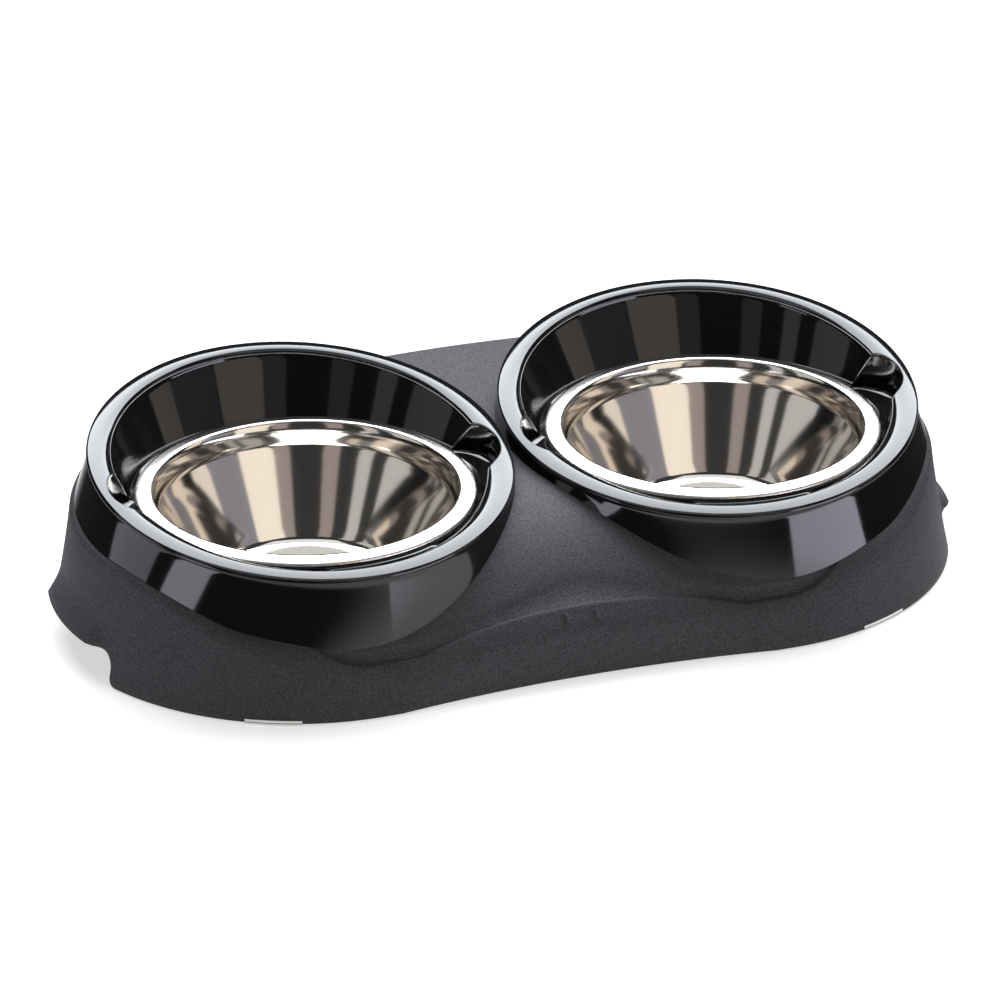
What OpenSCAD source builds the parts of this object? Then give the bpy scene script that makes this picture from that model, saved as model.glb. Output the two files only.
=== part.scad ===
// Double pet bowl: a low moulded stand that carries two tilted gloss holders and two lift-out steel bowls.
// The origin is on the floor under the middle of the stand. +X is to the right, +Y to the back, +Z up.

/* [Bowls] */
// How far the bowls' axes stand in front of the holders' axes
bowl_forward = 5; // [0:0.5:8]
// Height of the flange's inner edge above the floor
bowl_top_z = 70; // [64:0.5:76]
// Outer radius of the flange, with its rolled edge
flange_r = 80; // [65:0.5:100]
// Width of the flange
flange_w = 8; // [5:0.5:12]
// How far the flange falls towards its rolled edge
flange_fall = 1.2; // [0.5:0.1:2]
// Radius of the rolled edge
edge_roll_r = 1.3; // [1:0.1:1.8]
// Depth of the bowl below its flange
bowl_depth = 53; // [45:1:56]
// Radius of the bowl's flat bottom
bottom_r = 50; // [40:1:54]
// Depth of the shoulder crease below the flange
shoulder_depth = 12; // [8:0.5:16]
// How far the shoulder crease lies inside the flange
shoulder_in = 2.5; // [1.5:0.5:6]
// Radius of the raised disc in the bottom
disc_r = 25; // [15:1:35]
// Height of the raised disc
disc_rise = 1.2; // [0.6:0.1:2]
// Thickness of the steel sheet
steel_t = 0.8; // [0.6:0.1:1]

/* [Holders] */
// How far the holders' axes stand in front of the middle of the stand
holder_forward = 5; // [0:0.5:8]
// Gap between a bowl's flange and the inner wall at the seat
flange_clear = 2.2; // [1.5:0.1:3]
// Growth of the inner wall's radius for each unit of height
inner_slope = 0.235; // [0.2:0.005:0.26]
// Width of the seat under a bowl's flange
seat_w = 5; // [4:0.5:6.5]
// Thickness of the seat
seat_t = 2.2; // [1.8:0.1:3]
// Width of the rolled rim
rim_w = 14.2; // [12:0.2:17]
// Tilt of the rim about the X axis, low at the front
rim_tilt = 10; // [6:0.5:12]
// Height of the rim's plane over the bowl's top, at the holder's axis
rim_rise = 13; // [10:0.5:16]
// Height of the rim's crown over its plane
rim_crown = 1.2; // [0.6:0.1:2]
// Depth of the rim's outer roll
rim_depth = 6; // [5:0.5:7.5]
// Radius of the rounding between the crown and the outer side
rim_round_r = 4; // [3:0.5:5]
// Wall of the holder's moulding
holder_wall = 2.5; // [2:0.1:3]
// Step from the rim's edge in to the band under it
band_step = 1; // [0.5:0.1:2]
// How far the band draws out down to its lower end
band_out = 2.1; // [0:0.1:3]
// How far the band's lower end stands outwards, away from the other holder
band_foot_shift = 2.5; // [1:0.5:4]
// Depth of the band's lower end below the deck
band_sink = 13; // [9:1:19]
// Gap between the two holders' rims
rim_gap = 3.2; // [2:0.2:12]

/* [Finger notches] */
// Width of each notch along the rim
notch_w = 36; // [28:1:40]
// Width of the rim that is left beside each notch
notch_rest = 4.7; // [4:0.1:6]

/* [Stand] */
// Width of the ledge between the band and the skirt, at the deck
ledge_w = 4.2; // [3.4:0.1:8]
// How much the skirt draws in for each unit of height
skirt_draft = 0.225; // [0.16:0.005:0.24]
// How far the skirt's slope eases back out up to the deck
skirt_ease = 2.2; // [0:0.1:3]
// Wall of the stand's moulding
stand_wall = 2.8; // [2.2:0.1:3.5]
// Height of the skirt's edge over the floor
skirt_gap = 1; // [0.6:0.1:1.6]
// Depth of the front waist at the floor
waist_depth = 7; // [4:0.2:9]
// Draw-in of the waist for each unit of height
waist_draft = 0.08; // [0.04:0.01:0.15]

/* [Deck] */
// Depth of the deck below the rim's plane, at the holders' axes
deck_drop = 21; // [19:0.5:23]
// Rise of the deck for each unit towards the back
deck_slope = 0.1; // [0.06:0.01:0.11]
// Distance in front of the holders' axes where the deck starts to roll down
deck_roll_y = 40; // [30:1:50]
// Radius of the rolled front of the deck
deck_roll_r = 133; // [120:1:150]
// Gap between a holder's inner wall and the opening in the deck
deck_hole_gap = 2.3; // [2:0.1:2.8]
// Width of the chamfer along the middle of the deck's front edge
chamfer_w = 4.5; // [3:0.5:8]

/* [Handholds] */
// Half width of the arch in each end
arch_half_w = 43; // [36:1:50]
// Height of the arch
arch_h = 17; // [12:0.5:20]
// Radius of the arch's upper corners
arch_top_r = 9; // [6:0.5:11]
// Radius of the arch's lower corners
arch_foot_r = 4; // [2:0.5:6]
// How far the grip lip over the arch stands out
lip_out = 5; // [2:0.5:6]
// Half width of the grip lip
lip_half_w = 29; // [20:1:34]
// Radius of the grip lip's rounded ends
lip_end_r = 45; // [38:1:60]
// Height of the grip lip's flare
lip_flare_h = 13; // [8:1:20]

/* [Feet] */
// Angle of each foot's middle from the stand's side
foot_angle = 65; // [50:1:75]
// Angle that each foot spans
foot_span = 13; // [8:0.5:18]
// Width of each foot
foot_w = 9; // [6:0.5:12]
// Depth of each foot's pocket in the stand
foot_pocket = 1.6; // [1:0.1:2.4]

/* [Screws] */
// Angle of the screws from the holder's side
screw_angle = 30; // [28:1:33]
// Radius of a screw's shank
screw_r = 1.5; // [1.2:0.1:1.8]
// Length of a screw's shank
screw_l = 16; // [13:0.5:18]
// Radius of a screw's head
screw_head_r = 3.3; // [2.8:0.1:4]
// Thickness of a screw's head
screw_head_t = 2.2; // [1.8:0.1:2.8]
// Wall of the posts that take the screws
post_wall = 1.4; // [1.2:0.1:1.6]
// Gap between the posts and the band
post_gap = 1.1; // [0.8:0.1:1.3]
// Depth of the screw bosses under the deck
boss_depth = 9; // [7:0.5:10]
// Wall of the screw bosses
boss_wall = 3.5; // [3:0.1:4]

/* [Hidden] */

round_fn = 180;
hull_fn = 120;
small_fn = 48;
arc_steps = 10;
right_angle = 90;
over = 2;                       // overrun of every cut
slim = 0.02;                    // thickness of the discs that a hull is stretched over
seat_clear = 0.3;               // gap between a bowl's rolled edge and its seat
joint_clear = 0.15;             // gap between pieces that are set against each other
screw_clear = 0.05;             // gap round a screw's shank

holder_y = -holder_forward;
bowl_y = holder_y - bowl_forward;
rim_z = bowl_top_z + rim_rise;
deck_z = rim_z - deck_drop;
seat_z = bowl_top_z - flange_fall - 2 * edge_roll_r - seat_clear;
flange_inner_r = flange_r - flange_w;
seat_inner_r = flange_r - seat_w;
inner_r = flange_r + flange_clear;
rim_inner_r = inner_r + inner_slope * (rim_z - seat_z);
rim_r = rim_inner_r + rim_w;
band_top_r = rim_r - band_step;
band_foot_r = band_top_r + band_out;
axis_x = rim_r + rim_gap / 2;
end_r = band_foot_r + ledge_w + skirt_draft * deck_z - skirt_ease;
deck_hole_r = inner_r + holder_wall + deck_hole_gap;
post_r = screw_r + post_wall;
boss_r = screw_r + boss_wall;
screw_ring_r = band_top_r - holder_wall - post_gap - post_r;

// Points of an arc about a centre, from one angle to another
function arc(centre, r, from, to) =
    [for (i = [0:arc_steps]) let (a = from + (to - from) * i / arc_steps) centre + r * [cos(a), sin(a)]];

// The sideways direction of the way from a to b
function across(a, b) = let (v = b - a) [v[1], -v[0]] / norm(v);

// A line moved sideways by d, square to its parts
function moved(line, d) = [for (i = [0:len(line) - 1])
    let (last = len(line) - 1,
        n1 = across(line[max(i - 1, 0)], line[max(i, 1)]),
        n2 = across(line[min(i, last - 1)], line[min(i + 1, last)]),
        m = (n1 + n2) / norm(n1 + n2))
    line[i] + m * d / (m * n1)];

function reversed(line) = [for (i = [len(line) - 1:-1:0]) line[i]];

// Bowls: each is one sheet of steel, turned about its axis

// Inner side of the sheet, from the middle of the bottom out to the rolled edge
bottom_round_r = shoulder_depth / 2;
shoulder_r = flange_inner_r - shoulder_in;
wall_angle = atan((bowl_depth - shoulder_depth) / (shoulder_r - bottom_r));
bowl_line = concat(
    [[0, disc_rise - bowl_depth], [disc_r, disc_rise - bowl_depth], [disc_r + disc_rise, -bowl_depth]],
    arc([bottom_r - bottom_round_r, bottom_round_r - bowl_depth], bottom_round_r,
        -right_angle, wall_angle - right_angle),
    [[shoulder_r, -shoulder_depth], [flange_inner_r - steel_t, -steel_t], [flange_inner_r, 0]],
    arc([flange_r - edge_roll_r, -flange_fall - edge_roll_r], edge_roll_r, right_angle, -right_angle / 2));

module bowl_at(x) {
    color("silver")
        translate([x, bowl_y, bowl_top_z])
            rotate_extrude($fn = round_fn)
                polygon(concat(bowl_line, reversed(moved(bowl_line, steel_t))));
}

// Stand: a hollow skirt under a deck that rolls down at the front

roll_angle = atan(deck_slope);
roll_start_y = holder_y - deck_roll_y;
roll_y = roll_start_y + deck_roll_r * sin(roll_angle);
roll_z = deck_z - deck_roll_y * deck_slope - deck_roll_r * cos(roll_angle);

// Height of the deck's upper side at a distance y behind the middle
function deck_at(y) = y > roll_start_y
    ? deck_z + deck_slope * (y - holder_y)
    : roll_z + sqrt(pow(deck_roll_r, 2) - pow(y - roll_y, 2));

// Everything below the deck's upper side, lowered by drop
module under_deck(drop) {
    reach = axis_x + end_r + over;
    back = end_r + over;
    r = deck_roll_r - drop;
    sweep_end = 2 * right_angle - asin((-over - roll_z) / r);
    translate([-reach, 0, 0])
        rotate([right_angle, 0, right_angle])
            linear_extrude(height = 2 * reach)
                polygon(concat([[back, -over], [back, deck_at(back) - drop / cos(roll_angle)]],
                    arc([roll_y, roll_z], r, right_angle + roll_angle, sweep_end)));
}

// Radius of the stand's round ends at a height z
skirt_h = deck_at(end_r) + over;
function skirt_r(z) = end_r - skirt_draft * z + skirt_ease * pow(z / deck_z, 2);

// Half of the skirt's section, from a height bottom upwards, drawn in by inset
module half_section(bottom, inset) {
    polygon(concat([[0, skirt_h], [0, bottom]],
        [for (i = [0:arc_steps]) let (z = bottom + (skirt_h - bottom) * i / arc_steps)
            [skirt_r(z) - inset, z]]));
}

module skirt_form(bottom, inset) {
    for (side = [0, 1])
        mirror([side, 0, 0]) {
            translate([axis_x, 0, 0])
                rotate([0, 0, -right_angle])
                    rotate_extrude(angle = 2 * right_angle, $fn = round_fn)
                        half_section(bottom, inset);
            for (back = [0, 1])
                mirror([0, back, 0])
                    rotate([right_angle, 0, right_angle])
                        linear_extrude(height = axis_x)
                            half_section(bottom, inset);
        }
}

// The hollow in front of the waist, with the chamfer along the deck's front edge, grown by grow
waist_y = end_r - waist_depth;
waist_back = (pow(axis_x, 2) - pow(waist_depth, 2)) / (2 * waist_depth);
waist_r = waist_back - waist_y;
chamfer_z = deck_at(chamfer_w * 3 / 2 - waist_y) - chamfer_w;

module waist(grow) {
    foot_r = waist_r + grow;
    crease_r = foot_r + waist_draft * chamfer_z;
    translate([0, -waist_back, 0])
        rotate_extrude($fn = round_fn * 2)
            polygon([[waist_r / 2, -over], [foot_r - waist_draft * over, -over], [crease_r, chamfer_z],
                [crease_r + skirt_h, chamfer_z + skirt_h], [waist_r / 2, chamfer_z + skirt_h]]);
}

// The arch's outline about the middle of an end, over the floor
module arch_outline() {
    foot_z = skirt_gap + arch_foot_r;
    top_w = arch_half_w - arch_top_r;
    difference() {
        translate([-arch_half_w - arch_foot_r, -over])
            square([2 * (arch_half_w + arch_foot_r), over + foot_z]);
        for (side = [-1, 1])
            translate([side * (arch_half_w + arch_foot_r), foot_z])
                circle(r = arch_foot_r, $fn = small_fn);
    }
    translate([-arch_half_w, 0])
        square([2 * arch_half_w, arch_h - arch_top_r]);
    translate([-top_w, 0])
        square([2 * top_w, arch_h]);
    for (side = [-1, 1])
        translate([side * top_w, arch_h - arch_top_r])
            circle(r = arch_top_r, $fn = small_fn);
}

module arches() {
    for (side = [-1, 1])
        translate([side * (axis_x + end_r), 0, 0])
            rotate([right_angle, 0, right_angle])
                linear_extrude(height = end_r, center = true)
                    arch_outline();
}

// The lip that flares out over an arch
lip_r = skirt_r(arch_h) + lip_out;
lip_rise = lip_r - skirt_r(arch_h + lip_flare_h);
lip_end_x = sqrt(pow(lip_r, 2) - pow(lip_half_w, 2)) - sqrt(pow(lip_end_r, 2) - pow(lip_half_w, 2));

module grip_lip(side) {
    translate([side * axis_x, 0, arch_h])
        intersection() {
            cylinder(h = lip_flare_h, r1 = lip_r, r2 = lip_r - lip_rise, $fn = round_fn);
            translate([side * lip_end_x, 0, 0])
                cylinder(h = lip_flare_h, r1 = lip_end_r, r2 = lip_end_r - lip_rise, $fn = round_fn);
            translate([side * lip_r, 0, 0])
                cube([lip_r, lip_r, 2 * lip_flare_h + over], center = true);
        }
}

// Places of a holder's screws, at the lower side of the deck's bosses
module at_screws(x) {
    for (side = [-1, 1], back = [-1, 1]) {
        y = holder_y + back * screw_ring_r * sin(screw_angle);
        translate([x + side * screw_ring_r * cos(screw_angle), y, deck_at(y) - boss_depth])
            children();
    }
}

// A curved block under the skirt's edge, from the floor up to a height h, grown by grow
foot_r = skirt_r(skirt_gap) - joint_clear;
module foot_form(side, back, h, grow) {
    middle = side > 0 ? back * foot_angle : 2 * right_angle - back * foot_angle;
    translate([side * axis_x, 0, 0])
        rotate([0, 0, middle - foot_span / 2 - grow])
            rotate_extrude(angle = foot_span + 2 * grow, $fn = round_fn)
                translate([foot_r - foot_w - grow, 0])
                    square([foot_w + grow, h]);
}

rib_t = 2;
module stand_insides() {
    rib_x = (axis_x - deck_hole_r) / 2;
    for (side = [-1, 1])
        translate([side * rib_x - rib_t / 2, -end_r, deck_z / 2])
            cube([rib_t, 2 * end_r, deck_z]);
    for (side = [-1, 1])
        at_screws(side * axis_x)
            cylinder(h = deck_z, r = boss_r, $fn = small_fn);
    for (side = [-1, 1], back = [-1, 1])
        translate([0, 0, skirt_gap])
            foot_form(side, back, foot_pocket + rib_t, rib_t);
}

module stand_cuts() {
    arches();
    for (side = [-1, 1]) {
        translate([side * axis_x, bowl_y, 0])
            cylinder(h = 2 * deck_z, r = deck_hole_r, $fn = round_fn);
        at_screws(side * axis_x) {
            translate([0, 0, -over])
                cylinder(h = 2 * deck_z, r = screw_r + screw_clear, $fn = small_fn);
            translate([0, 0, -deck_z])
                cylinder(h = deck_z, r = screw_head_r + joint_clear, $fn = small_fn);
        }
        for (back = [-1, 1])
            foot_form(side, back, skirt_gap + foot_pocket, joint_clear);
    }
}

module base_shell() {
    color([0.16, 0.16, 0.17])
        difference() {
            intersection() {
                union() {
                    difference() {
                        union() {
                            skirt_form(skirt_gap, 0);
                            for (side = [-1, 1])
                                grip_lip(side);
                        }
                        difference() {
                            intersection() {
                                skirt_form(-over, stand_wall);
                                under_deck(stand_wall);
                            }
                            waist(stand_wall);
                        }
                    }
                    intersection() {
                        stand_insides();
                        skirt_form(skirt_gap, stand_wall / 2);
                    }
                }
                under_deck(0);
            }
            waist(0);
            stand_cuts();
        }
}

// Holders: each is a rolled rim, the band under it, an inner wall and the seat, in one moulding

module on_rim() {
    translate([0, 0, rim_z])
        rotate([rim_tilt, 0, 0])
            children();
}

// Section of the rolled rim, about its plane
rim_line = concat(
    [[seat_inner_r, -rim_crown * 3], [inner_r + rim_round_r / 2, -rim_crown],
        [inner_r + 2 * rim_round_r, rim_crown]],
    arc([rim_r - rim_round_r, rim_crown / 2 - rim_round_r], rim_round_r, right_angle, 0),
    [[rim_r, band_step - rim_depth], [band_top_r + band_step / 2, -rim_depth],
        [band_top_r - holder_wall - band_step, -rim_depth],
        [band_top_r - holder_wall - band_step, -rim_round_r], [seat_inner_r, -rim_round_r - rim_crown]]);

// The band's form from the rim to below the deck, drawn in by inset and drawn out by extra at both ends
band_depth = deck_drop + band_sink;
module band_form(side, inset, extra) {
    hull() {
        on_rim()
            translate([0, 0, extra - rim_depth * 3 / 4])
                cylinder(h = slim, r = band_top_r - inset, $fn = hull_fn);
        translate([side * band_foot_shift, 0, 0])
            on_rim()
                translate([0, -band_depth * sin(rim_tilt), -band_depth - extra])
                    cylinder(h = slim, r = band_foot_r - inset, $fn = hull_fn);
    }
}

// The cone inside the inner wall, from a height z up, grown by grow
module inner_cone(z, grow) {
    translate([0, -bowl_forward, z])
        cylinder(h = rim_z, r1 = inner_r + grow, r2 = inner_r + grow + inner_slope * rim_z, $fn = round_fn);
}

notch_depth = rim_w - notch_rest;
notch_r = (pow(notch_w / 2, 2) + pow(notch_depth, 2)) / (2 * notch_depth);
notch_x = rim_inner_r + notch_depth - notch_r;
module notches(z, grow) {
    for (side = [-1, 1])
        translate([side * notch_x, -bowl_forward, z])
            cylinder(h = 2 * rim_z, r = notch_r + grow, $fn = round_fn);
}

// Inner wall, seat, notch walls and screw posts, all below the rim
module holder_insides() {
    intersection() {
        union() {
            inner_cone(seat_z, holder_wall);
            translate([0, -bowl_forward, seat_z - seat_t])
                cylinder(h = 2 * seat_t, r = inner_r + holder_wall, $fn = round_fn);
            notches(seat_z, holder_wall);
            translate([0, -holder_y, 0])
                at_screws(0)
                    cylinder(h = rim_z, r = post_r, $fn = small_fn);
        }
        on_rim()
            translate([0, 0, -2 * rim_z - rim_round_r / 2])
                cylinder(h = 2 * rim_z, r = 2 * rim_r, $fn = round_fn);
    }
}

// What the stand's deck takes away from a holder
module deck_cut(x) {
    difference() {
        under_deck(-joint_clear);
        translate([x, bowl_y, -2 * over])
            cylinder(h = 2 * deck_z, r = deck_hole_r - joint_clear, $fn = round_fn);
    }
}

module holder_at(x) {
    color([0.03, 0.03, 0.035])
        difference() {
            translate([x, holder_y, 0])
                difference() {
                    union() {
                        on_rim()
                            rotate_extrude($fn = round_fn)
                                polygon(rim_line);
                        difference() {
                            band_form(sign(x), 0, 0);
                            band_form(sign(x), holder_wall, over);
                        }
                        holder_insides();
                    }
                    inner_cone(seat_z, 0);
                    notches(0, 0);
                    translate([0, -bowl_forward, 0])
                        cylinder(h = rim_z, r = seat_inner_r, $fn = round_fn);
                }
            deck_cut(x);
            at_screws(x)
                cylinder(h = screw_l + joint_clear, r = screw_r + screw_clear, $fn = small_fn);
        }
}

// Screws: pan heads under the stand's bosses, shanks up into the holder's posts
slot_w = screw_r / 2;
screw_foot_r = screw_head_r - slot_w;
module screws_at(x) {
    color([0.6, 0.6, 0.62])
        at_screws(x)
            difference() {
                union() {
                    cylinder(h = screw_l, r = screw_r, $fn = small_fn);
                    translate([0, 0, -screw_head_t])
                        cylinder(h = screw_head_t, r1 = screw_foot_r, r2 = screw_head_r, $fn = small_fn);
                }
                for (a = [0, right_angle])
                    rotate([0, 0, a])
                        translate([0, 0, -screw_head_t])
                            cube([screw_head_r, slot_w, screw_head_t], center = true);
            }
}

// Feet: curved rubber pads let into the stand behind the skirt's edge
module foot(side, back) {
    color([0.75, 0.74, 0.7])
        foot_form(side, back, skirt_gap + foot_pocket - joint_clear, 0);
}

module left_holder() { holder_at(-axis_x); }
module right_holder() { holder_at(axis_x); }
module left_bowl() { bowl_at(-axis_x); }
module right_bowl() { bowl_at(axis_x); }
module front_left_foot() { foot(-1, -1); }
module front_right_foot() { foot(1, -1); }
module back_left_foot() { foot(-1, 1); }
module back_right_foot() { foot(1, 1); }
module left_holder_screws() { screws_at(-axis_x); }
module right_holder_screws() { screws_at(axis_x); }

base_shell();
left_holder();
right_holder();
left_bowl();
right_bowl();
front_left_foot();
front_right_foot();
back_left_foot();
back_right_foot();
left_holder_screws();
right_holder_screws();
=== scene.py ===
"""The looks of a double pet bowl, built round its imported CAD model.

Sizes in the settings are metres, in the part's frame: the origin is on the floor under the
middle of the stand, +X runs to the right, +Y to the back and +Z up. Heights of the holders
and bowls are measured from the floor.
"""

import math

import bpy
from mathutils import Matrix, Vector


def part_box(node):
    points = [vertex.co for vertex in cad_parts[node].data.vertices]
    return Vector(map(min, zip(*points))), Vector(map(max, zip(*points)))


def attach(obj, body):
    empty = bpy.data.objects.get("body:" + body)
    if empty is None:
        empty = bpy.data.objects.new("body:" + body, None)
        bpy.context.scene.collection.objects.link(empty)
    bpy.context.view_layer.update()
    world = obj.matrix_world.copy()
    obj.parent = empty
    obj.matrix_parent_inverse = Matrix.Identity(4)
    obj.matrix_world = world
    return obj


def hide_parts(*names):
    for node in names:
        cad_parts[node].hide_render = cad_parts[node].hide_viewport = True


bl_info = {
    "name": "Double pet bowl looks",
    "version": (1, 0, 0),
    "blender": (4, 5, 0),
    "location": "View3D > Sidebar > Pet bowl",
    "description": "Builds the visible pieces, materials and studio of a double pet bowl",
    "category": "Object",
}

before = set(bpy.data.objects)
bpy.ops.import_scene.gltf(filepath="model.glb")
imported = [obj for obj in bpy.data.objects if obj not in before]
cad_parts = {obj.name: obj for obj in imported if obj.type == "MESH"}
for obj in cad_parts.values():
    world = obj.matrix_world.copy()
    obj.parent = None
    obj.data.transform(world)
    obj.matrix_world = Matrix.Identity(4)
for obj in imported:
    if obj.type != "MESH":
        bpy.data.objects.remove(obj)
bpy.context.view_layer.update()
SIDES = {"left": -1, "right": 1}

# How finely the pieces are drawn: points along each stretch
ARCH_TOP_POINTS = 12
ARCH_FOOT_POINTS = 8
END_POINTS = 91
SIDE_POINTS = 87
SKIRT_POINTS = 14
CORNER_POINTS = 33
DECK_POINTS = 15
RIB_POINTS = 24
PAD_POINTS = 9
BOSS_POINTS = 32
BAND_POINTS = 15
ROUNDING_POINTS = 10
CROWN_POINTS = 22
INNER_EDGE_POINTS = 6
INNER_WALL_POINTS = 25
RING_POINTS = 181
NOTCH_POINTS = 131
CONE_POINTS = 12
SHOULDER_POINTS = 12
FLANGE_POINTS = 7
LATHE_STEPS = 192
# Rounds of the loops that settle a value, and of the one that halves an interval
EDGE_ROUNDS = 40
SETTLE_ROUNDS = 12
CUT_ROUNDS = 3
HALVINGS = 30
# Points this close are one point, and the step of a slope worked out as a difference
WELD_DISTANCE = 1e-5
SLOPE_STEP = 1e-4
# Just short of a quarter turn, so that an arch's corner ends before the edge's next point
FOOT_TURN = 1.5
# The step under a holder's rim, from the rim's outer edge, in widths of the step
STEP = ((-1.0, -1.25), (-1.0, -0.55), (-0.8, -0.25), (-0.3, -0.12))
# The raised disc's edge: out from its radius, and share of its height
DISC_EDGE = ((-0.001, 1.0), (0.0, 0.8), (0.0008, 0.2), (0.0018, 0.0), (0.006, 0.0))
# The shoulder's crease, from its own point
CREASE = ((-0.00005, -0.0003), (0.0003, 0.0003))
# Shares at which the stretches of a bowl's line end or start, beside its creases
CONE_END = 0.97
SHOULDER_START = 0.08
FLANGE_START = 0.15
# Degrees from and to which a bowl's rolled edge and a rim's inner rounding run
ROLL_ARC = (75.0, -60.0)
INNER_ARC = (70.0, 180.0)
# Angle on each side of a finger notch that is drawn finely, in half notches
NOTCH_FINE = 1.5


def number(name, description, default, precision=3, **kind):
    """A plain ratio or strength, or a number of the given kind."""
    return bpy.props.FloatProperty(
        name=name, description=description, default=default, precision=precision, **kind
    )


def length(name, description, default):
    """A size in metres."""
    return number(name, description, default, precision=4, unit="LENGTH")


def angle(name, description, degrees):
    """An angle, stated in degrees."""
    return number(name, description, math.radians(degrees), subtype="ANGLE", unit="ROTATION")


def triple(name, description, default, **kind):
    """Three numbers of the given kind."""
    return bpy.props.FloatVectorProperty(
        name=name, description=description, default=default, size=3, **kind
    )


def colour(name, description, default):
    """A linear colour."""
    return triple(name, description, default, min=0.0, max=1.0, subtype="COLOR")


class PETBOWL_PG_stand(bpy.types.PropertyGroup):
    """Sizes of the moulded stand."""

    end_x: length("End centre", "Distance from the middle to an end's centre", 0.102)
    end_r: length("End radius", "Radius of the round ends at the floor", 0.1174)
    draft: number("Draft", "How much the skirt draws in with height", 0.225)
    ease: length("Ease", "How far the skirt's slope eases back at its top", 0.005)
    skirt_h: length("Skirt height", "Height over which the slope eases", 0.0743)
    wall: length("Wall", "Thickness of the moulding", 0.0026)
    gap: length("Gap", "Height of the skirt's edge over the floor", 0.001)
    waist_depth: length("Waist", "Depth of the front waist at the floor", 0.007)
    waist_draft: number("Waist draft", "Draw-in of the waist with height", 0.08)
    deck_z: length("Deck height", "Height of the deck's middle at the roll's start", 0.0673)
    deck_slope: number("Deck slope", "Rise of the deck towards the back", 0.06)
    roll_y: length("Roll start", "Where the deck starts to roll down", -0.033)
    roll_r: length("Roll radius", "Radius of the deck's rolled front", 0.098)
    fall: number("Fall", "Slope at which the deck falls towards the ends", 0.066)
    fall_ease: length("Fall ease", "Half width of the middle in which the fall begins", 0.06)
    fall_y: length("Fall front", "Where the fall begins, behind the front edge", -0.107)
    fall_reach: length("Fall reach", "Depth over which the fall comes in", 0.025)
    chamfer: length("Chamfer", "Width of the deck's front chamfer", 0.0045)
    chamfer_rise: number("Chamfer rise", "Height of the chamfer against its width", 0.93)
    edge_r: length("Edge", "Rounding of the deck's edge", 0.0022)
    crease_r: length("Crease", "Rounding of the front chamfer's creases", 0.0006)
    crease_from: length("Crease start", "Waist from which the edge is creased", 0.002)
    hole_r: length("Hole", "Radius of the openings in the deck", 0.0872)
    arch_w: length("Arch half width", "Half width of the handhold arch", 0.043)
    arch_h: length("Arch height", "Height of the handhold arch", 0.017)
    arch_top_r: length("Arch top", "Radius of the arch's upper corners", 0.009)
    arch_foot_r: length("Arch foot", "Radius of the arch's lower corners", 0.004)
    lip_out: length("Lip", "How far the grip lip stands out", 0.0048)
    lip_h: length("Lip height", "Height of the grip lip's flare", 0.013)
    lip_bend: number("Lip bend", "How fast the lip's flare draws in with height", 1.5)
    lip_flat: angle("Lip span", "Half angle of the lip's full width", 14.0)
    lip_fade: angle("Lip end", "Half angle at which the lip has faded", 20.0)
    notch_gap: length("Notch gap", "Room in the deck's opening round a finger notch", 0.001)
    rib_x: length("Rib place", "Distance of the neck's ribs from the middle", 0.0074)
    rib_z: length("Rib height", "Height of the ribs' lower edge", 0.031)
    rib: length("Rib thickness", "Thickness of the ribs and of the pads over the feet", 0.002)
    rib_sink: number("Rib sink", "Share of the wall that the ribs' ends leave free", 0.8)
    rib_clear: number("Rib clearance", "Chamfers over which the ribs' fronts drop", 3.0)
    pocket: length("Foot pocket", "Depth of the pockets that take the feet", 0.0016)
    pad_w: length("Pad width", "Width of the pads over the feet", 0.0115)
    pad_turn: angle("Pad place", "Angle of the pads round the ends", 65.0)
    pad_span: angle("Pad span", "Angle that a pad covers", 15.0)
    boss_r: length("Boss radius", "Radius of the screw bosses", 0.005)
    bore_r: length("Bore", "Radius of the bosses' bores", 0.00155)
    head_r: length("Screw head", "Radius of the screws' heads", 0.0033)
    head_t: length("Screw head height", "Thickness of the screws' heads", 0.0022)
    seat_slope: number("Boss slope", "Rise of the bosses' lower ends towards the back", 0.1)
    colour: colour("Colour", "Colour of the moulding", (0.034, 0.033, 0.037))


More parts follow.
